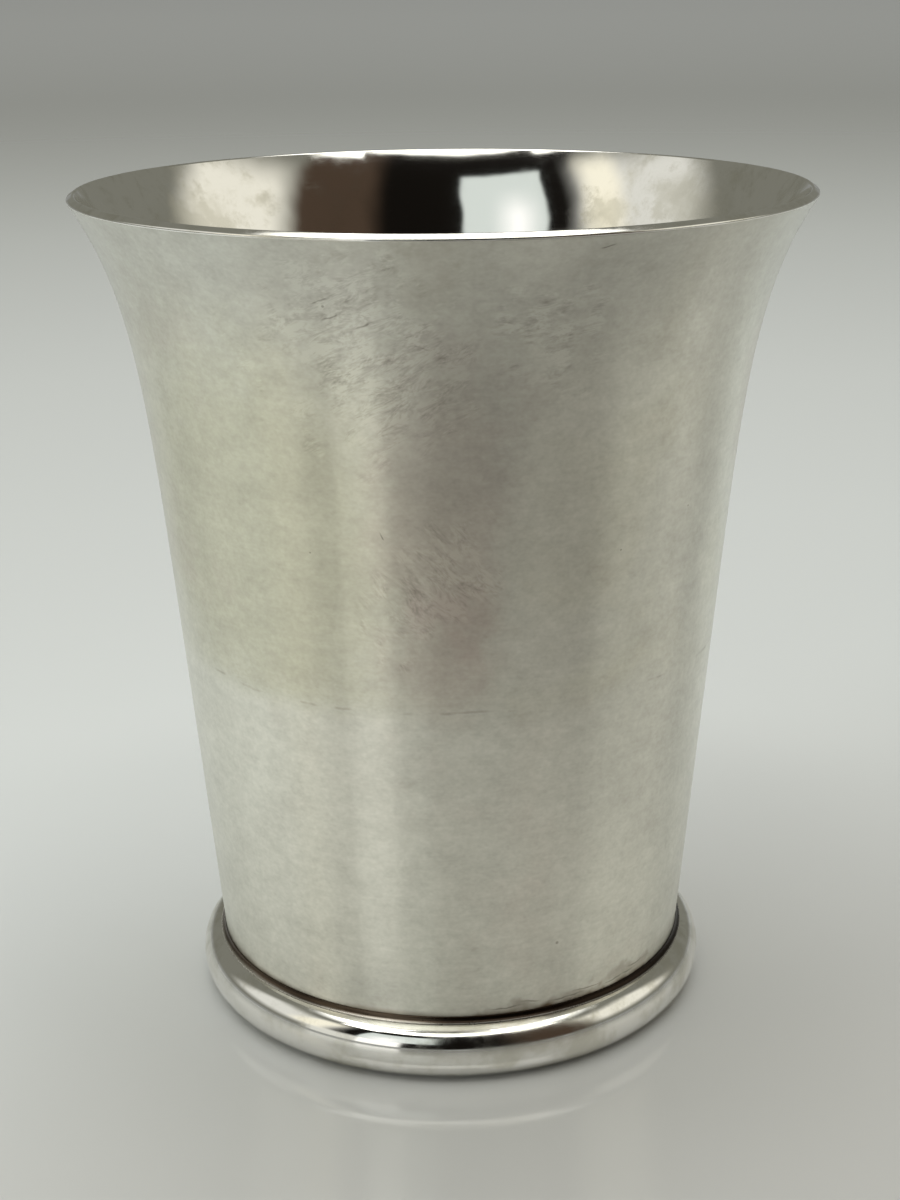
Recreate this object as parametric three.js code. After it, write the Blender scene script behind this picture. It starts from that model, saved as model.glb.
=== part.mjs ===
// Silver beaker: a tapering satin wall with a flared lip, on a base plate and a half-round foot wire.
// Millimetres, +Z up. The origin is the middle of the ring that stands on the table.

import {
  Group, LatheGeometry, Mesh, MeshStandardMaterial, QuadraticBezierCurve, ShapeUtils, Vector2,
} from 'three';

// Wall
const lipHeight = 88.05;          // table to the outer edge of the lip
const rimDiameter = 76.5;         // across the outer edge of the lip
const coneTopDiameter = 66.2;     // across the straight taper, carried on up to the lip
const coneBottomDiameter = 50.2;  // across the straight taper, carried on down to the table
const flareSharpness = 9.9;       // power of the flare: the higher, the later the wall turns out
const wallGauge = 1.0;            // thickness of the sheet
const lipArris = 0.25;            // rounding of the two edges of the lip

// Foot wire
const footHeight = 6.35;          // height of the half-round section before wear
const footDepth = 2.8;            // how far the wire stands out from the wall
const footWear = 0.15;            // depth worn flat on the underside

// Base plate
const baseRecess = 2.0;           // table to the edge of the plate's underside
const baseGauge = 1.2;            // thickness of the plate
const baseCrown = 0.9;            // rise of the plate's middle over its edge

// Solder
const solderGap = 0.05;           // film between two soldered faces
const creaseLeg = 0.55;           // leg of the fillet in the crease above the foot wire
const underWallLeg = 0.35;        // leg of the fillet under the wall's bottom edge
const underWallLift = 0.15;       // table to the lowest solder under the wall
const cupFilletLeg = 1.0;         // leg of the fillet round the plate, inside the cup
const recessFilletLeg = 0.7;      // leg of the fillet round the plate's underside
const filletHollow = 0.5;         // how far a fillet is drawn in from a straight face, towards its corner

// Steps of the faceted solids
const turnSteps = 72;             // facets round the axis
const wallSteps = 16;             // steps up the wall
const wallCrowding = 1.8;         // how strongly those steps crowd towards the lip
const arrisSteps = 3;             // steps round each edge of the lip
const footSteps = 14;             // steps round the half-round section
const plateSteps = 5;             // steps from the plate's middle to its edge
const filletSteps = 3;            // steps across the face of a fillet

// Finishes
const satinSilver = { color: 0xb4b2a8, roughness: 0.4, metalness: 1 };
const polishedSilver = { color: 0xcfcdc6, roughness: 0.14, metalness: 1 };
const hammeredSilver = { color: 0xbdbab1, roughness: 0.32, metalness: 1 };
const tarnishedSolder = { color: 0x6f675b, roughness: 0.55, metalness: 1 };

const rimRadius = rimDiameter / 2;
const coneTopRadius = coneTopDiameter / 2;
const coneBottomRadius = coneBottomDiameter / 2;
const wallBottom = underWallLift + underWallLeg + solderGap;
const footTop = footHeight - footWear;
const plateTop = baseRecess + baseGauge;

// Outer face of the wall at a height, and how fast it leans out there.
function outerRadius(z) {
  const rise = Math.max(z, 0) / lipHeight;
  const taper = coneBottomRadius + (coneTopRadius - coneBottomRadius) * rise;
  return taper + (rimRadius - coneTopRadius) * rise ** flareSharpness;
}

function outerSlope(z) {
  const rise = Math.max(z, 0) / lipHeight;
  const flare = flareSharpness * (rimRadius - coneTopRadius) * rise ** (flareSharpness - 1);
  return (coneTopRadius - coneBottomRadius + flare) / lipHeight;
}

// Direction up the wall at a height, and the direction square to it through the sheet.
function upWall(z) {
  return new Vector2(outerSlope(z), 1).normalize();
}

function throughWall(z) {
  const up = upWall(z);
  return new Vector2(-up.y, up.x);
}

function innerRadius(z) {
  return outerRadius(z) - wallGauge * Math.hypot(1, outerSlope(z));
}

function arc(centre, from, to, steps) {
  return Array.from({ length: steps + 1 }, (_, i) => {
    const turn = (i / steps) * (Math.PI / 2);
    return centre.clone().addScaledVector(from, Math.cos(turn)).addScaledVector(to, Math.sin(turn));
  });
}

// A solid of revolution from a closed outline, or from one that starts and ends on the axis.
function turned(name, outline, finish) {
  const loop = ShapeUtils.area(outline) > 0 ? outline : outline.slice().reverse();
  const onAxis = loop[0].x === 0 && loop.at(-1).x === 0;
  const profile = onAxis ? loop : [...loop, loop[0]];
  const solid = new Mesh(
    new LatheGeometry(profile, turnSteps).rotateX(Math.PI / 2),
    new MeshStandardMaterial(finish),
  );
  solid.name = name;
  return solid;
}

// Sheet wall: up the outside, over the dressed lip, down the inside.
function bodyWall() {
  const up = upWall(lipHeight);
  const through = throughWall(lipHeight);
  const lipEdge = new Vector2(rimRadius, lipHeight);
  const wallTop = lipHeight - lipArris * up.y;
  const heights = Array.from({ length: wallSteps }, (_, i) => (
    wallBottom + (wallTop - wallBottom) * (1 - (1 - i / wallSteps) ** wallCrowding)
  ));
  const outside = heights.map((z) => new Vector2(outerRadius(z), z));
  const inside = outside.map((p) => p.clone().addScaledVector(throughWall(p.y), wallGauge));
  const toArris = up.clone().multiplyScalar(lipArris);
  const inArris = through.clone().multiplyScalar(lipArris);
  const outerCentre = lipEdge.clone().sub(toArris).add(inArris);
  const innerCentre = lipEdge.clone().sub(toArris).addScaledVector(through, wallGauge - lipArris);
  const lip = [
    ...arc(outerCentre, inArris.clone().negate(), toArris, arrisSteps),
    ...arc(innerCentre, toArris, inArris, arrisSteps),
  ];
  return turned('body_wall', [...outside, ...lip, ...inside.reverse()], satinSilver);
}

// Half-round wire: a half ellipse on the wall's outer face, worn flat where it stands.
function wireHeight(standOut) {
  const half = footHeight / 2;
  return footTop - half + half * Math.sqrt(1 - (standOut / footDepth) ** 2);
}

function footWire() {
  const half = footHeight / 2;
  const seat = (z) => outerRadius(z) + solderGap;
  const flatTurn = Math.asin(1 - footWear / half);
  const bulge = Array.from({ length: footSteps + 1 }, (_, i) => {
    const turn = -flatTurn + (i / footSteps) * (flatTurn + Math.PI / 2);
    const z = footTop - half + half * Math.sin(turn);
    return new Vector2(seat(z) + footDepth * Math.cos(turn), z);
  });
  return turned('foot_wire', [new Vector2(seat(0), 0), ...bulge], polishedSilver);
}

// Crowned base plate, its edge tapered to the wall's inside.
function plateRise(radius) {
  return baseCrown * (1 - (radius / innerRadius(baseRecess)) ** 2);
}

function basePlate() {
  const lowEdge = innerRadius(baseRecess) - solderGap;
  const highEdge = innerRadius(plateTop) - solderGap;
  const face = (edge, z) => Array.from({ length: plateSteps + 1 }, (_, i) => {
    const radius = edge * (i / plateSteps);
    return new Vector2(radius, z + plateRise(radius));
  });
  const underside = face(lowEdge, baseRecess);
  const topside = face(highEdge, plateTop);
  return turned('base_plate', [...underside, ...topside.reverse()], hammeredSilver);
}

// Solder fillet: from one face into the corner, out along the other face, and back across a hollow face.
function fillet(name, along, corner, across) {
  const middle = along.clone().add(across).multiplyScalar(1 / 2);
  const pull = middle.lerp(corner, filletHollow);
  const hollow = new QuadraticBezierCurve(across, pull, along).getPoints(filletSteps);
  return turned(name, [corner, ...hollow], tarnishedSolder);
}

function footSolderUpper() {
  const onWall = (z) => new Vector2(outerRadius(z) + solderGap, z);
  const low = footTop + solderGap;
  const out = new Vector2(onWall(low).x + creaseLeg, wireHeight(creaseLeg) + solderGap);
  return fillet('foot_solder_upper', onWall(low + creaseLeg), onWall(low), out);
}

function footSolderLower() {
  const high = wallBottom - solderGap;
  const corner = new Vector2(outerRadius(0), high);
  const down = new Vector2(corner.x, high - underWallLeg);
  const inwards = new Vector2(corner.x - underWallLeg, high);
  return fillet('foot_solder_lower', down, corner, inwards);
}

function baseSolderInside() {
  const onWall = (z) => new Vector2(innerRadius(z) - solderGap, z);
  const onPlate = (radius) => plateTop + plateRise(radius) + solderGap;
  const corner = onWall(plateTop + solderGap);
  const inwards = new Vector2(corner.x - cupFilletLeg, onPlate(corner.x - cupFilletLeg));
  return fillet('base_solder_inside', onWall(corner.y + cupFilletLeg), corner, inwards);
}

function baseSolderUnder() {
  const onWall = (z) => new Vector2(innerRadius(z) - solderGap, z);
  const corner = onWall(baseRecess - solderGap);
  const inwards = new Vector2(corner.x - recessFilletLeg, corner.y);
  return fillet('base_solder_under', onWall(corner.y - recessFilletLeg), corner, inwards);
}

const beaker = new Group();
beaker.add(
  bodyWall(),
  basePlate(),
  footWire(),
  footSolderUpper(),
  footSolderLower(),
  baseSolderInside(),
  baseSolderUnder(),
);

export default beaker;
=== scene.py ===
import math

import bmesh
import bpy
from mathutils import Matrix, Vector


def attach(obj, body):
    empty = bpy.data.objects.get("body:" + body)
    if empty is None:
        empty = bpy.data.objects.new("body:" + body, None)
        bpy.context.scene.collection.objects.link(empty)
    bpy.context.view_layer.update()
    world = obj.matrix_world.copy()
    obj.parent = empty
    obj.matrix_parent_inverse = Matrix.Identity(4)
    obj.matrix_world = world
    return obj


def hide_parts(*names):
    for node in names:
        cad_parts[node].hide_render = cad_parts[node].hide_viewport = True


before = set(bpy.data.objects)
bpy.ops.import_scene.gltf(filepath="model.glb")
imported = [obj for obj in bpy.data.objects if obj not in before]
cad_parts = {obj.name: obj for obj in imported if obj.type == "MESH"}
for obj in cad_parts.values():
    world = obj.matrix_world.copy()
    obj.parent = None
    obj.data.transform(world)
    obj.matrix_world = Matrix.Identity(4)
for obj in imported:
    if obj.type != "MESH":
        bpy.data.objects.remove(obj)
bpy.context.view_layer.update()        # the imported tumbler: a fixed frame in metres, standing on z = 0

scene = bpy.context.scene
scene.view_settings.view_transform = "Standard"
mm = 0.001
noiseMiddle = 0.5        # a noise swings between 0 and 1 about this
print("frame loaded with", sorted(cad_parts))


# a shader socket: plain arithmetic on it adds Math nodes
class Wire:
    def __init__(self, bench, socket):
        self.bench = bench
        self.socket = socket

    def maths(self, operation, first, second):
        return self.bench.add("Math", {"operation": operation}, {0: first, 1: second})

    def __add__(self, other):
        return self.maths("ADD", self, other)

    def __radd__(self, other):
        return self.maths("ADD", other, self)

    def __sub__(self, other):
        return self.maths("SUBTRACT", self, other)

    def __rsub__(self, other):
        return self.maths("SUBTRACT", other, self)

    def __mul__(self, other):
        return self.maths("MULTIPLY", self, other)

    def __rmul__(self, other):
        return self.maths("MULTIPLY", other, self)


# a node tree to work on: add() makes any node, its settings first and then its sockets
class Bench:
    def __init__(self, tree):
        self.tree = tree

    def add(self, kind, settings=None, sockets=None, out=0):
        node = self.tree.nodes.new("ShaderNode" + kind)
        for name, value in (settings or {}).items():
            setattr(node, name, value)
        for key, value in (sockets or {}).items():
            self.fill(node.inputs[key], value)
        return Wire(self, node.outputs[out])

    def fill(self, socket, value):
        if isinstance(value, Wire):
            self.tree.links.new(value.socket, socket)
        else:
            socket.default_value = value

    def objectMm(self):     # place on the piece, in millimetres
        place = self.add("TexCoord", out="Object")
        return self.add("VectorMath", {"operation": "SCALE"}, {0: place, "Scale": 1 / mm})

    def split(self, vector):
        x = self.add("SeparateXYZ", None, {0: vector})
        outputs = x.socket.node.outputs
        return x, Wire(self, outputs[1]), Wire(self, outputs[2])

    def times(self, vector, scale):
        return self.add("VectorMath", {"operation": "MULTIPLY"}, {0: vector, 1: scale})

    def length(self, vector):
        return self.add("VectorMath", {"operation": "LENGTH"}, {0: vector}, out="Value")

    def distance(self, vector, point):
        return self.add("VectorMath", {"operation": "DISTANCE"}, {0: vector, 1: point}, out="Value")

    def size(self, value):
        return self.add("Math", {"operation": "ABSOLUTE"}, {0: value})

    def noise(self, vector, scale=1.0, detail=2.0, roughness=0.5, distortion=0.0, stretch=None):
        return self.add("TexNoise", None, {
            "Vector": self.times(vector, stretch) if stretch else vector,
            "Scale": scale,
            "Detail": detail,
            "Roughness": roughness,
            "Distortion": distortion,
        })

    def swing(self, noise, reach):      # the noise about zero, times its reach
        return (noise - noiseMiddle) * reach

    def ease(self, value, ends):        # 0 at the first end, 1 at the second, smooth between
        sockets = {"Value": value, "From Min": ends[0], "From Max": ends[1]}
        return self.add("MapRange", {"interpolation_type": "SMOOTHSTEP"}, sockets)

    def tint(self, share, first, second):
        return self.add("Mix", {"data_type": "RGBA"}, {0: share, 6: first, 7: second}, out=2)

    def bump(self, height, depth):      # depth in millimetres
        return self.add("Bump", None, {"Strength": 1.0, "Distance": depth * mm, "Height": height})

    def facing(self, place, heading, height, radius, lean=0):
        # millimetres round a spot on the wall: x along the wall, y inwards, z up, then leant over
        turn = math.radians(heading)
        spot = (radius * math.sin(turn), -radius * math.cos(turn), height)
        moved = self.add("VectorMath", {"operation": "SUBTRACT"}, {0: place, 1: spot})
        turned = {"Vector": moved, "Rotation": (0, -math.radians(lean), turn)}
        return self.add("VectorRotate", {"rotation_type": "EULER_XYZ", "invert": True}, turned)

    def blob(self, local, across, upright, wobble, rim=(1.0, 0.25)):
        # soft patch: 1 in its middle, 0 past its edge
        reach = self.length(self.times(local, (1 / across, 1 / across, 1 / upright)))
        return self.ease(reach + wobble, rim)

    def patch(self, place, wobble, heading, height, across, upright, radius):
        return self.blob(self.facing(place, heading, height, radius), across, upright, wobble)


def colour(red, green, blue):
    return (red, green, blue, 1.0)


def weigh(layers, shares):      # the layers named in shares, each times its share, added up
    return sum(layers[name] * share for name, share in shares.items())


def newFinish(name, base, roughness, settings=None):
    material = bpy.data.materials.new(name)
    material.use_nodes = True
    shader = material.node_tree.nodes["Principled BSDF"].inputs
    shader["Metallic"].default_value = 1.0
    shader["Base Color"].default_value = base
    shader["Roughness"].default_value = roughness
    for key, value in (settings or {}).items():
        shader[key].default_value = value
    return material, Bench(material.node_tree), shader


# satin silver of the wall's outside; headings in degrees turn rightwards from the front, the rest in mm
satinLook = dict(
    clean=colour(0.98, 0.97, 0.87),
    yellowed=colour(0.828, 0.812, 0.66),
    rosy=colour(0.807, 0.72, 0.64),
    # grey of the darkening towards the lip, partly painted shade in the reflections
    darkeningGrey=colour(0.485, 0.485, 0.448),
    rust=colour(0.24, 0.18, 0.12),
    grime=colour(0.09, 0.065, 0.045),
    roughness=0.31,
    gloss=0.19,                 # roughness of the sharper part of the sheen
    glossShare=0.5,
    anisotropic=1.0,
    grainTurn=0.25,             # quarter turn: the polishing lines run round the wall
    radius=31.0,                # wall radius that films and marks are placed with
    noises=dict(                # scale and stretch are per mm
        clouds=dict(scale=0.05, detail=4.0, roughness=0.55, distortion=0.5),
        dents=dict(scale=0.085, roughness=0.4),
        mottle=dict(scale=0.42, detail=2.5),
        grain=dict(stretch=(0.2, 0.2, 0.28), detail=4.0, roughness=0.9),
        fine=dict(stretch=(1.3, 1.3, 1.6), detail=1.0, roughness=0.8),
        lines=dict(stretch=(0.03, 0.03, 2.4), detail=1.5),
    ),
    # tarnish films and a grey darkening: a share all over past an onset, and patches by heading, height,
    # width and height
    uneven=dict(clouds=1.6, mottle=0.5),        # what frays the patches
    yellowFilm=dict(
        onset=(0.42, 0.7),      # of clouds
        share=0.5,
        patchShare=1.0,
        fray=0.5,
        patches=[
            (-38, 58, 28, 30),
            (120, 60, 24, 26),
            (-150, 66, 22, 20),
        ],
    ),
    rosyFilm=dict(
        onset=(0.52, 0.8),      # of clouds
        mottle=0.3,             # how far the mottle moves that onset
        share=0.35,
        patchShare=0.65,
        fray=1.0,
        patches=[
            (0, 64, 9, 22),
            (-1, 46, 8, 9),
            (86, 70, 12, 14),
            (-118, 48, 14, 18),
            (168, 42, 16, 14),
        ],
    ),
    # grey darkening, thicker towards the lip and in patches; part of it is painted shade in the
    # reflections
    greyDarkening=dict(
        onset=(69, 88),         # heights between which it thickens towards the lip
        waver=3,
        share=0.6,
        patchShare=0.25,
        fray=0.6,
        patches=[
            # this first patch is painted shade: it darkens the reflections on the right
            (46, 36, 15, 24),
            (48, 9, 6, 2.5),
            (3, 70, 10, 12),
            (50, 64, 10, 23),
            (-20, 9, 9, 5),
            (132, 22, 18, 16),
            (-104, 74, 16, 14),
        ],
    ),
    tide=dict(                  # the line that the yellow film reaches down to, with a thin dark edge
        height=41.6,
        waver=3,
        fray=2,
        fade=(-2.0, 1.4),
        edge=(0.2, 0.04),
        edgeMottle=(0.42, 0.6),         # the edge shows only past these
        edgeDents=(0.4, 0.54),
    ),
    crease=dict(                # tarnish over the foot, with brown smears placed as patches are
        fade=(7.5, 6.4),        # heights, from bare to tarnished
        uneven=dict(clouds=1.6, mottle=0.4),
        share=0.9,
        smearShare=0.4,
        fray=3.2,
        radius=25.8,            # wall radius that the smears are placed with
        smears=[
            (15, 7.2, 5, 1.2),
            (30, 7.3, 6, 1.2),
            (46, 7.6, 8, 1.4),
            (-96, 7.2, 6, 1.1),
            (158, 7.3, 7, 1.2),
        ],
    ),
    scuff=dict(                 # rubbed patches: heading, height, width, height and lean
        rubbing=dict(stretch=(0.3, 0.3, 0.9), detail=3.5, roughness=0.95, distortion=0.5),
        fray=2.6,
        marks=[
            (-15, 81, 11, 8, 20),
            (-8, 74, 11, 7, 28),
            (-3, 54, 6, 10, -44),
            (16, 80, 7, 7, 8),
            (88, 62, 9, 7, -20),
            (142, 72, 11, 7, 22),
            (-98, 40, 10, 8, -28),
            (-168, 55, 9, 8, 34),
        ],
    ),
    nick=dict(                  # single scratches: heading, height, length and lean
        ends=(0.5, 0.2),        # shares of the length from the middle: where it starts, where it is full
        width=(0.12, 0.02),
        waver=0.9,
        breaks=(0.3, 0.6),
        marks=[
            (-17.7, 82.3, 3.0, 17),
            (-13.9, 82.2, 2.6, 20),
            (-16.9, 80.7, 2.4, 16),
            (-12.0, 80.0, 2.2, 24),
            (-11.4, 59.7, 1.2, -52),
            (22.4, 87.0, 1.8, 6),
            (72.5, 84.9, 2.4, -30),
            (13.0, 7.5, 4.5, 2),
            (17.5, 7.9, 3.5, -3),
            (28.0, 7.4, 5.0, 1),
            (33.5, 7.8, 4.5, -2),
            (44.0, 7.5, 6.0, 2),
            (51.0, 8.0, 5.0, -2),
            (104.0, 58.0, 3.2, -26),
            (176.0, 78.0, 2.8, 18),
            (-74.0, 69.0, 3.0, 31),
        ],
    ),
    pit=dict(                   # small dark pits: heading, height and radius
        core=0.4,               # share of the radius that is full
        depthShare=0.005,       # depth counts a little, which keeps a pit off the far side
        share=0.6,
        marks=[
            (-17.8, 81.7, 0.18),
            (24.4, 14.3, 0.24),
            (33.3, 56.7, 0.14),
            (50.7, 59.4, 0.14),
            (-25.1, 57.4, 0.12),
            (98, 33, 0.2),
            (151, 64, 0.16),
            (-166, 19, 0.22),
            (-121, 70, 0.15),
            (-82, 28, 0.18),
        ],
    ),
    speck=dict(perMm=0.11, radius=(0.028, 0.014), onset=(0.46, 0.56)),
    haze=0.12,                  # share of grime all over, which the dirt takes up and down
    dirt=dict(grain=0.5, fine=0.2, lines=0.08, scuff=1.5, nick=0.42, speck=0.65, tideEdge=0.2),
    roughening=dict(mottle=0.03, scuff=0.04),
    relief=dict(lines=0.4, mottle=0.8, dents=8.0, scuff=-1.5, nick=-3.0, speck=-4.0),
    reliefDepth=0.003,
)


def scuffMask(bench, place, mottle, heading, height, width, tall, lean):
    scuff = satinLook["scuff"]
    local = bench.facing(place, heading, height, satinLook["radius"], lean)
    rubbed = bench.noise(local, **scuff["rubbing"]) - noiseMiddle
    return rubbed * bench.blob(local, width, tall, bench.swing(mottle, scuff["fray"]))


def nickMask(bench, place, mottle, heading, height, length, lean):
    nick = satinLook["nick"]
    local = bench.split(bench.facing(place, heading, height, satinLook["radius"], lean))
    along = bench.ease(bench.size(local[0]), [length * share for share in nick["ends"]])
    thin = bench.ease(bench.size(local[2] + bench.swing(mottle, nick["waver"])), nick["width"])
    return along * thin * bench.ease(mottle, nick["breaks"])


def pitMask(bench, place, heading, height, radius):
    pit = satinLook["pit"]
    local = bench.facing(place, heading, height, satinLook["radius"])
    reach = bench.length(bench.times(local, (1, pit["depthShare"], 1)))
    return bench.ease(reach, (radius, radius * pit["core"]))


# rubbed patches, scratches, and specks together with pits
def satinMarks(bench, place, noises):
    pit = satinLook["pit"]
    speck = satinLook["speck"]
    mottle = noises["mottle"]
    sockets = {"Vector": place, "Scale": speck["perMm"]}
    cells = bench.add("TexVoronoi", {"feature": "F1"}, sockets, out="Distance")
    specks = bench.ease(cells, speck["radius"]) * bench.ease(noises["clouds"], speck["onset"])
    pits = sum(pitMask(bench, place, *mark) for mark in pit["marks"])
    return dict(
        scuff=sum(scuffMask(bench, place, mottle, *mark) for mark in satinLook["scuff"]["marks"]),
        nick=sum(nickMask(bench, place, mottle, *mark) for mark in satinLook["nick"]["marks"]),
        speck=specks + pits * pit["share"],
    )


def filmCover(bench, place, film, value, uneven):
    wobble = uneven * film["fray"]
    patches = sum(bench.patch(place, wobble, *spot, satinLook["radius"]) for spot in film["patches"])
    return bench.ease(value, film["onset"]) * film["share"] + patches * film["patchShare"]


# colour of the satin under its dirt, with its grey darkening that is partly painted shade, and the dark
# edge of the tide line
def satinFilms(bench, place, noises, swung):
    look = satinLook
    tide = look["tide"]
    crease = look["crease"]
    z = bench.split(place)[2]
    uneven = weigh(swung, look["uneven"])
    shore = z + swung["clouds"] * tide["waver"] - tide["height"]
    yellow = filmCover(bench, place, look["yellowFilm"], noises["clouds"], uneven)
    yellow = yellow * bench.ease(shore + swung["mottle"] * tide["fray"], tide["fade"])
    mottled = noises["clouds"] + swung["mottle"] * look["rosyFilm"]["mottle"]
    rosy = filmCover(bench, place, look["rosyFilm"], mottled, uneven)
    wavering = z + uneven * look["greyDarkening"]["waver"]
    # grey darkening, partly painted shade in the reflections
    grey = filmCover(bench, place, look["greyDarkening"], wavering, uneven)
    wobble = swung["mottle"] * crease["fray"]
    smears = sum(bench.patch(place, wobble, *spot, crease["radius"]) for spot in crease["smears"])
    climb = bench.ease(z + weigh(swung, crease["uneven"]), crease["fade"])
    tarnish = (climb + smears * crease["smearShare"]) * crease["share"]
    tone = bench.tint(yellow, look["clean"], look["yellowed"])
    tone = bench.tint(rosy, tone, look["rosy"])
    tone = bench.tint(grey, tone, look["darkeningGrey"])
    tone = bench.tint(tarnish, tone, look["rust"])
    edge = bench.ease(bench.size(shore), tide["edge"])
    edge = edge * bench.ease(noises["mottle"], tide["edgeMottle"])
    return tone, edge * bench.ease(noises["dents"], tide["edgeDents"])


def satinSilver():
    look = satinLook
    sheen = {"Anisotropic": look["anisotropic"], "Anisotropic Rotation": look["grainTurn"]}
    material, bench, shader = newFinish("satinSilver", look["clean"], look["roughness"], sheen)
    place = bench.objectMm()
    noises = {name: bench.noise(place, **settings) for name, settings in look["noises"].items()}
    swung = {name: noise - noiseMiddle for name, noise in noises.items()}
    tone, tideEdge = satinFilms(bench, place, noises, swung)
    layers = dict(swung, tideEdge=tideEdge, **satinMarks(bench, place, noises))
    tone = bench.tint(look["haze"] + weigh(layers, look["dirt"]), tone, look["grime"])
    bump = bench.bump(weigh(layers, look["relief"]), look["reliefDepth"])
    bench.fill(shader["Base Color"], tone)
    bench.fill(shader["Roughness"], look["roughness"] + weigh(layers, look["roughening"]))
    bench.fill(shader["Normal"], bump)
    # part of the sheen is sharper, so that reflections keep an edge within the satin blur
    sockets = {"Metallic": 1.0, "Roughness": look["gloss"], "Base Color": tone, "Normal": bump}
    sharper = bench.add("BsdfPrincipled", None, {**sheen, **sockets})
    nodes = material.node_tree.nodes
    softer = Wire(bench, nodes["Principled BSDF"].outputs[0])
    both = bench.add("MixShader", None, {0: look["glossShare"], 1: softer, 2: sharper})
    bench.fill(nodes["Material Output"].inputs["Surface"], both)
    return material


# mirror polish of the foot, the lip and the inside, under a thin film
brightLook = dict(
    clean=colour(0.93, 0.915, 0.88),
    film=colour(0.74, 0.72, 0.65),
    roughness=0.06,
    clouds=dict(scale=0.1, detail=4.0, roughness=0.6, distortion=0.5),
    smudge=dict(scale=0.35, detail=5.0, roughness=0.62),
    lines=dict(stretch=(0.05, 0.05, 4.0), detail=3.0, roughness=0.6),
    waves=dict(detail=2.5, roughness=0.45),
    filmOnset=(0.42, 0.72),
    filmFray=0.8,
    filmDulling=0.16,           # roughness that the film adds
    lineDulling=0.04,
    wipedFray=0.8,
    wiped=[(178, 80, 30, 40, 33)],      # heading, height, width, height and radius of a clean patch inside
    cloudedFray=3,
    cloudedShare=0.9,
    clouded=[                           # the same for dull patches inside
        (-123, 82.5, 9, 4, 34.5),
        (126, 83.5, 8, 4, 34.8),
        (146, 82, 4, 3, 34.5),
        (40, 60, 16, 14, 30),
        (-30, 40, 14, 18, 28),
    ],
)


def brightSilver(name, waves, wiped=(), clouded=()):
    look = brightLook
    material, bench, shader = newFinish(name, look["clean"], look["roughness"])
    place = bench.objectMm()
    clouds = bench.noise(place, **look["clouds"])
    smudge = bench.noise(place, **look["smudge"])
    lines = bench.noise(place, **look["lines"])
    film = bench.ease(clouds + bench.swing(smudge, look["filmFray"]), look["filmOnset"])
    for spot in wiped:
        film = film * (1 - bench.patch(place, bench.swing(smudge, look["wipedFray"]), *spot))
    for spot in clouded:
        dull = bench.patch(place, bench.swing(smudge, look["cloudedFray"]), *spot)
        film = film + dull * look["cloudedShare"]
    dulling = film * look["filmDulling"] + bench.swing(lines, look["lineDulling"])
    bench.fill(shader["Base Color"], bench.tint(film, look["clean"], look["film"]))
    bench.fill(shader["Roughness"], look["roughness"] + dulling)
    depth, pitch = waves
    bench.fill(shader["Normal"], bench.bump(bench.noise(place, scale=1 / pitch, **look["waves"]), depth))
    return material


# planished base plate: shallow hammer facets under a dull film
plateLook = dict(
    clean=colour(0.62, 0.605, 0.56),
    dull=colour(0.36, 0.345, 0.305),
    roughness=0.26,
    clouds=dict(scale=0.12, detail=4.0, roughness=0.6, distortion=0.5),
    grain=dict(scale=0.9, detail=3.0, roughness=0.8),
    filmOnset=(0.34, 0.7),
    filmFray=0.5,
    filmDulling=0.16,
    facets=0.2,                 # per mm
    facetBlend=0.35,
    facetDepth=0.12,
)


def planishedSilver():
    look = plateLook
    material, bench, shader = newFinish("planishedSilver", look["clean"], look["roughness"])
    place = bench.objectMm()
    clouds = bench.noise(place, **look["clouds"])
    grain = bench.noise(place, **look["grain"])
    film = bench.ease(clouds + bench.swing(grain, look["filmFray"]), look["filmOnset"])
    bench.fill(shader["Base Color"], bench.tint(film, look["clean"], look["dull"]))
    bench.fill(shader["Roughness"], look["roughness"] + film * look["filmDulling"])
    sockets = {"Vector": place, "Scale": look["facets"], "Smoothness": look["facetBlend"]}
    cells = bench.add("TexVoronoi", {"feature": "SMOOTH_F1"}, sockets, out="Distance")
    bench.fill(shader["Normal"], bench.bump(cells, look["facetDepth"]))
    return material


# tarnish in the crease over the foot: umber to black by the wall, bare silver further out
creaseLook = dict(
    black=colour(0.026, 0.018, 0.013),
    umber=colour(0.14, 0.105, 0.075),
    silver=colour(0.78, 0.74, 0.67),
    heavy=dict(scale=0.06, detail=1.5),
    crust=dict(scale=0.7, detail=4.0, roughness=0.6),
    thickness=(0.3, 0.54),      # of heavy
    radius=25.72,               # where the crease meets the wall, in mm
    reach=(0.5, 0.16),          # mm out from the wall, from bare to tarnished
    thickReach=0.2,             # how much further thick tarnish comes out
    crustReach=0.05,
    roughness=0.18,
    crustDulling=0.2,
)


def creaseTarnish():
    look = creaseLook
    material, bench, shader = newFinish("creaseTarnish", look["black"], look["roughness"])
    place = bench.objectMm()
    crust = bench.noise(place, **look["crust"])
    thick = bench.ease(bench.noise(place, **look["heavy"]), look["thickness"])
    out = bench.length(bench.times(place, (1, 1, 0))) - look["radius"]
    out = out - thick * look["thickReach"] + bench.swing(crust, look["crustReach"])
    inner = bench.ease(out, look["reach"])
    tarnish = bench.tint(thick, look["umber"], look["black"])
    bench.fill(shader["Base Color"], bench.tint(inner, look["silver"], tarnish))
    bench.fill(shader["Roughness"], look["roughness"] + crust * look["crustDulling"])
    return material


# dull film on the other solder
solderLook = dict(
    brown=colour(0.34, 0.3, 0.25),
    silver=colour(0.78, 0.74, 0.67),
    crust=dict(scale=0.5, detail=4.0, roughness=0.6),
    bareOnset=(0.38, 0.66),
    roughness=0.25,
    crustDulling=0.25,
)


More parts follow.
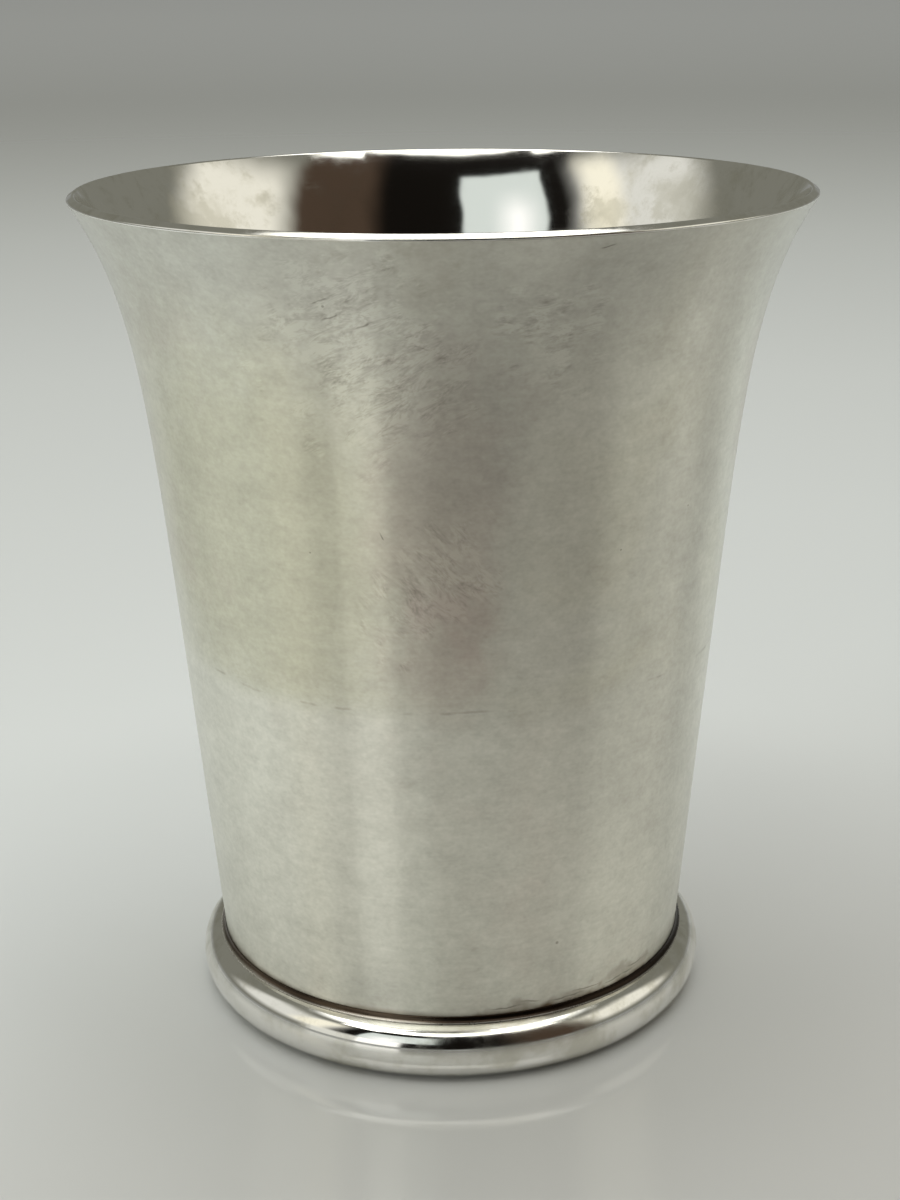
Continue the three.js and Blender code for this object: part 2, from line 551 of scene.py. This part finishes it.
def dullSolder():
    look = solderLook
    material, bench, shader = newFinish("dullSolder", look["brown"], look["roughness"])
    crust = bench.noise(bench.objectMm(), **look["crust"])
    bare = bench.ease(crust, look["bareOnset"])
    bench.fill(shader["Base Color"], bench.tint(bare, look["brown"], look["silver"]))
    bench.fill(shader["Roughness"], look["roughness"] + crust * look["crustDulling"])
    return material


# how every piece is turned
turning = dict(
    steps=256,
    mergeDistance=1e-7,
)


# spins an outline of (radius, height) points round the axis into a smooth closed piece
def spinOutline(outline, closed=True):
    mesh = bmesh.new()
    points = [mesh.verts.new((radius, 0, height)) for radius, height in outline]
    ends = points[1:] + points[:1] if closed else points[1:]
    edges = [mesh.edges.new(pair) for pair in zip(points, ends)]
    bmesh.ops.spin(mesh, geom=points + edges, cent=(0, 0, 0), axis=(0, 0, 1),
                   angle=2 * math.pi, steps=turning["steps"], use_merge=True)
    bmesh.ops.remove_doubles(mesh, verts=mesh.verts, dist=turning["mergeDistance"])
    bmesh.ops.recalc_face_normals(mesh, faces=mesh.faces)
    for face in mesh.faces:
        face.smooth = True
    return mesh


def finishPiece(name, mesh, materials, node):
    data = bpy.data.meshes.new(name)
    mesh.to_mesh(data)
    mesh.free()
    for material in materials:
        data.materials.append(material)
    piece = bpy.data.objects.new(name, data)
    scene.collection.objects.link(piece)
    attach(piece, "root")
    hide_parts(node)
    print("made", name, "with", len(data.polygons), "faces")


def arc(centre, start, end, steps):     # quarter turn from start to end, both offsets from the centre
    turns = [math.pi / 2 * i / steps for i in range(steps + 1)]
    return [centre + start * math.cos(turn) + end * math.sin(turn) for turn in turns]


# wall: a straight taper that flares at the lip
wall = dict(
    lipHeight=88.05 * mm,
    rimRadius=38.25 * mm,
    coneTopRadius=33.1 * mm,
    coneBottomRadius=25.1 * mm,
    flareSharpness=9.9,
    gauge=1.0 * mm,
    lipArris=0.25 * mm,
    bottom=0.55 * mm,
    steps=72,
    crowding=1.8,               # how strongly the steps crowd towards the lip
    arrisSteps=6,
    lipFacing=0.3,              # faces that look up the wall by more than this are lip
    lipReach=2.0 * mm,          # and lie no further down than this
    lipWaves=(0.006, 6),        # depth and pitch of slight waves in the polish, in mm
    insideWaves=(0.16, 14),
)
solderGap = 0.05 * mm


def outerRadius(z):
    rise = max(z, 0) / wall["lipHeight"]
    taper = wall["coneBottomRadius"] + (wall["coneTopRadius"] - wall["coneBottomRadius"]) * rise
    return taper + (wall["rimRadius"] - wall["coneTopRadius"]) * rise ** wall["flareSharpness"]


def outerSlope(z):
    rise = max(z, 0) / wall["lipHeight"]
    flare = wall["rimRadius"] - wall["coneTopRadius"]
    flare *= wall["flareSharpness"] * rise ** (wall["flareSharpness"] - 1)
    return (wall["coneTopRadius"] - wall["coneBottomRadius"] + flare) / wall["lipHeight"]


def innerRadius(z):
    return outerRadius(z) - wall["gauge"] * math.hypot(1, outerSlope(z))


def upWall(z):
    return Vector((outerSlope(z), 1)).normalized()


def throughWall(z):
    up = upWall(z)
    return Vector((-up.y, up.x))


def makeWall():
    lipUp = upWall(wall["lipHeight"])
    lipIn = throughWall(wall["lipHeight"])
    edge = Vector((wall["rimRadius"], wall["lipHeight"]))
    top = wall["lipHeight"] - wall["lipArris"] * lipUp.y
    shares = [1 - (1 - i / wall["steps"]) ** wall["crowding"] for i in range(wall["steps"])]
    heights = [wall["bottom"] + (top - wall["bottom"]) * share for share in shares]
    outside = [Vector((outerRadius(z), z)) for z in heights]
    inside = [point + throughWall(point.y) * wall["gauge"] for point in outside]
    arris = wall["lipArris"]
    outerCentre = edge + (lipIn - lipUp) * arris
    innerCentre = edge + lipIn * (wall["gauge"] - arris) - lipUp * arris
    lip = arc(outerCentre, -lipIn * arris, lipUp * arris, wall["arrisSteps"])
    lip += arc(innerCentre, lipUp * arris, lipIn * arris, wall["arrisSteps"])
    mesh = spinOutline(outside + lip + inside[::-1])
    for face in mesh.faces:     # 0 satin outside, 1 bright lip, 2 bright inside
        middle = face.calc_center_median()
        outwards = face.normal.dot(Vector((middle.x, middle.y, 0)).normalized())
        upwards = outwards * lipUp.x + face.normal.z * lipUp.y
        onLip = upwards > wall["lipFacing"] and middle.z > wall["lipHeight"] - wall["lipReach"]
        face.material_index = 1 if onLip else (0 if outwards > 0 else 2)
    finishes = [
        satinSilver(),
        brightSilver("brightLip", wall["lipWaves"]),
        brightSilver("brightInside", wall["insideWaves"], brightLook["wiped"], brightLook["clouded"]),
    ]
    finishPiece("tumblerWall", mesh, finishes, "body_wall")


# half-round foot wire, worn flat underneath
foot = dict(
    height=6.35 * mm,
    depth=2.8 * mm,
    wear=0.15 * mm,
    steps=40,
    waves=(0.02, 9),            # depth and pitch of slight waves in the polish, in mm
)
footTop = foot["height"] - foot["wear"]


def wireHeight(standOut):
    half = foot["height"] / 2
    return footTop - half + half * math.sqrt(1 - (standOut / foot["depth"]) ** 2)


def makeFoot():
    half = foot["height"] / 2
    flatTurn = math.asin(1 - foot["wear"] / half)
    outline = [Vector((outerRadius(0) + solderGap, 0))]
    for i in range(foot["steps"] + 1):
        turn = -flatTurn + i / foot["steps"] * (flatTurn + math.pi / 2)
        z = footTop - half + half * math.sin(turn)
        outline.append(Vector((outerRadius(z) + solderGap + foot["depth"] * math.cos(turn), z)))
    finish = brightSilver("brightFoot", foot["waves"])
    finishPiece("tumblerFoot", spinOutline(outline), [finish], "foot_wire")


# base plate let into the wall
plate = dict(
    recess=2.0 * mm,
    gauge=1.2 * mm,
    crown=0.9 * mm,
    steps=24,
)
plateTop = plate["recess"] + plate["gauge"]


def plateRise(radius):
    return plate["crown"] * (1 - (radius / innerRadius(plate["recess"])) ** 2)


def plateFace(z):
    edge = innerRadius(z) - solderGap
    radii = [edge * i / plate["steps"] for i in range(plate["steps"] + 1)]
    return [Vector((radius, z + plateRise(radius))) for radius in radii]


def makePlate():
    outline = plateFace(plate["recess"]) + plateFace(plateTop)[::-1]
    mesh = spinOutline(outline, closed=False)
    finishPiece("tumblerBase", mesh, [planishedSilver()], "base_plate")


# solder fillets
solder = dict(
    creaseLeg=0.55 * mm,
    underWallLeg=0.35 * mm,
    cupLeg=1.0 * mm,
    recessLeg=0.7 * mm,
    hollow=0.5,                 # how far a fillet is drawn in towards its corner
    steps=8,
)


def makeFillet(name, along, corner, across, finish, node):
    pull = (along + across) / 2
    pull = pull.lerp(corner, solder["hollow"])
    shares = [i / solder["steps"] for i in range(solder["steps"] + 1)]
    hollow = [across * (1 - t) ** 2 + pull * 2 * t * (1 - t) + along * t ** 2 for t in shares]
    finishPiece(name, spinOutline([corner] + hollow), [finish], node)


def makeSolder():
    finish = dullSolder()
    leg = solder["creaseLeg"]
    low = footTop + solderGap
    corner = Vector((outerRadius(low) + solderGap, low))
    upwards = Vector((outerRadius(low + leg) + solderGap, low + leg))
    outwards = Vector((corner.x + leg, wireHeight(leg) + solderGap))
    makeFillet("creaseSolder", upwards, corner, outwards, creaseTarnish(), "foot_solder_upper")
    leg = solder["underWallLeg"]
    corner = Vector((outerRadius(0), wall["bottom"] - solderGap))
    downwards = corner - Vector((0, leg))
    inwards = corner - Vector((leg, 0))
    makeFillet("underWallSolder", downwards, corner, inwards, finish, "foot_solder_lower")
    leg = solder["cupLeg"]
    corner = Vector((innerRadius(plateTop) - solderGap, plateTop + solderGap))
    upwards = Vector((innerRadius(corner.y + leg) - solderGap, corner.y + leg))
    inwards = Vector((corner.x - leg, plateTop + plateRise(corner.x - leg) + solderGap))
    makeFillet("cupSolder", upwards, corner, inwards, finish, "base_solder_inside")
    leg = solder["recessLeg"]
    corner = Vector((innerRadius(plate["recess"]) - solderGap, plate["recess"] - solderGap))
    downwards = Vector((innerRadius(corner.y - leg) - solderGap, corner.y - leg))
    inwards = corner - Vector((leg, 0))
    makeFillet("recessSolder", downwards, corner, inwards, finish, "base_solder_under")


# pale glossy floor, in metres: painted light round the tumbler, fading behind it, with painted shade and a
# soft painted shadow in front
floorLook = dict(
    radius=14.0,
    segments=128,
    # near and far: painted light round the tumbler, and the grey it fades to further off
    near=colour(0.82, 0.85, 0.86),
    far=colour(0.38, 0.39, 0.385),
    # front and the colour after it: painted shade towards the front and right, then the darker painted
    # shadow in front
    front=colour(0.63, 0.63, 0.62),
    paintedShadow=colour(0.275, 0.27, 0.26),
    roughness=0.1,
    fade=(0.25, 1.5),           # distances from near to far
    frontTurn=(0.55, -0.835),   # direction of the front fade, to the right and back
    frontFade=(-0.06, 0.06),
    # the painted shadow: a soft pool in front, with a crisper rim close to the tumbler
    shadeCentre=(0.209, -0.317, 0),
    shadeFade=(0.35, 0.23),     # distances from that centre
    shadeEdge=(0.333, 0.309),   # a crisper rim to the shade, close to the tumbler
    edgeReach=(0.22, 0.14),
    edgeShare=0.3,
    shadeReach=(0.55, 0.13),    # distances from the tumbler within which the shade stays
    shadeStart=(0.05, 0.115),
)


def makeFloor():
    look = floorLook
    mesh = bmesh.new()
    bmesh.ops.create_circle(mesh, cap_ends=True, radius=look["radius"], segments=look["segments"])
    data = bpy.data.meshes.new("floor")
    mesh.to_mesh(data)
    mesh.free()
    material, bench, shader = newFinish("paleFloor", look["near"], look["roughness"], {"Metallic": 0.0})
    place = bench.add("TexCoord", out="Object")
    x, y = bench.split(place)[:2]
    toRight, toBack = look["frontTurn"]
    away = bench.distance(place, (0, 0, 0))
    # painted shadow in front, crisper close to the tumbler
    toShade = bench.distance(place, look["shadeCentre"])
    shade = bench.ease(toShade, look["shadeFade"])
    crisp = bench.ease(toShade, look["shadeEdge"]) * bench.ease(away, look["edgeReach"])
    shade = shade + crisp * (1 - shade) * look["edgeShare"]
    shade = shade * bench.ease(away, look["shadeReach"]) * bench.ease(away, look["shadeStart"])
    # painted pool of light round the tumbler, fading to grey
    tone = bench.tint(bench.ease(away, look["fade"]), look["near"], look["far"])
    # painted shade towards the front and right
    tone = bench.tint(bench.ease(x * toRight + y * toBack, look["frontFade"]), tone, look["front"])
    bench.fill(shader["Base Color"], bench.tint(shade, tone, look["paintedShadow"]))
    data.materials.append(material)
    floor = bpy.data.objects.new("floor", data)
    scene.collection.objects.link(floor)
    print("made the floor")


# soft studio: each panel is (left, right, low, high, edge, colour), in degrees,
# turning rightwards from the front, and lies over those before it
studio = dict(
    room=colour(0.19, 0.19, 0.16),
    panels=[
        (20, 63, -91, 60, 4, colour(0.065, 0.044, 0.03)),       # dark side, in front
        (-62, 28, -91, 60, 6, colour(0.006, 0.005, 0.004)),
        (-66, -41, -91, 22, 4, colour(0.72, 0.72, 0.66)),       # pale panels to the left of it
        (-42, -22.5, -10, 22, 1.5, colour(1.22, 1.22, 1.16)),
        (-43, -8, 22, 48, 1, colour(0.7, 0.76, 0.73)),
        (-36, -25, 16, 36, 8, colour(1.2, 1.2, 1.18)),
        (-112, -58, 14, 48, 8, colour(0.74, 0.74, 0.69)),       # cards to the left and right
        (-76, -60, 18, 50, 5, colour(1.0, 0.96, 0.8)),
        (66, 112, 14, 46, 8, colour(0.86, 0.84, 0.74)),
        (-72, -44, 56, 68, 1.5, colour(3.2, 3.2, 3.0)),         # soft boxes overhead, and high up behind
        (-46, 40, 59, 71, 1.5, colour(3.2, 3.2, 3.0)),
        (38, 68, 56, 68, 1.5, colour(3.2, 3.2, 3.0)),
        (-125, -50, 62, 91, 6, colour(2.2, 2.2, 2.1)),
        (46, 125, 62, 91, 6, colour(2.2, 2.2, 2.1)),
        (-180, -125, 61, 91, 3, colour(3.9, 3.9, 3.8)),
        (125, 180, 61, 91, 3, colour(3.9, 3.9, 3.8)),
        (-190, 190, -91, 4, 2, colour(0.265, 0.27, 0.255)),     # pale skyline
    ],
)


def makeWorld():
    world = bpy.data.worlds.new("softStudio")
    scene.world = world
    world.use_nodes = True
    bench = Bench(world.node_tree)
    x, y, z = bench.split(bench.add("TexCoord", out="Generated"))
    degree = 180 / math.pi
    turn = bench.add("Math", {"operation": "ARCTAN2"}, {0: x, 1: y * -1}) * degree
    rise = bench.add("Math", {"operation": "ARCSINE"}, {0: z}) * degree

    def within(value, low, high, edge):
        return bench.ease(value, (low - edge, low + edge)) * bench.ease(value, (high + edge, high - edge))

    light = studio["room"]
    for left, right, low, high, edge, tone in studio["panels"]:
        light = bench.tint(within(turn, left, right, edge) * within(rise, low, high, edge), light, tone)
    bench.fill(world.node_tree.nodes["Background"].inputs["Color"], light)
    print("made the studio with", len(studio["panels"]), "panels")


# camera at the photograph's viewing angle
view = dict(
    distance=208.7 * mm,
    height=111.6 * mm,
    pitch=18.05,
    roll=-0.607,
    lens=60.1,
    sensor=36.0,
    shift=0.00232,
    clipStart=0.01,
)


def makeCamera():
    data = bpy.data.cameras.new("camera")
    data.lens = view["lens"]
    data.sensor_width = view["sensor"]
    data.shift_x = view["shift"]
    data.clip_start = view["clipStart"]
    camera = bpy.data.objects.new("camera", data)
    tilt = Matrix.Rotation(math.radians(90 - view["pitch"]), 4, "X")
    roll = Matrix.Rotation(math.radians(view["roll"]), 4, "Z")
    camera.matrix_world = Matrix.Translation((0, -view["distance"], view["height"])) @ tilt @ roll
    scene.collection.objects.link(camera)
    scene.camera = camera
    print("camera set")


makeCamera()
makeWall()
makeFoot()
makePlate()
makeSolder()
makeFloor()
makeWorld()
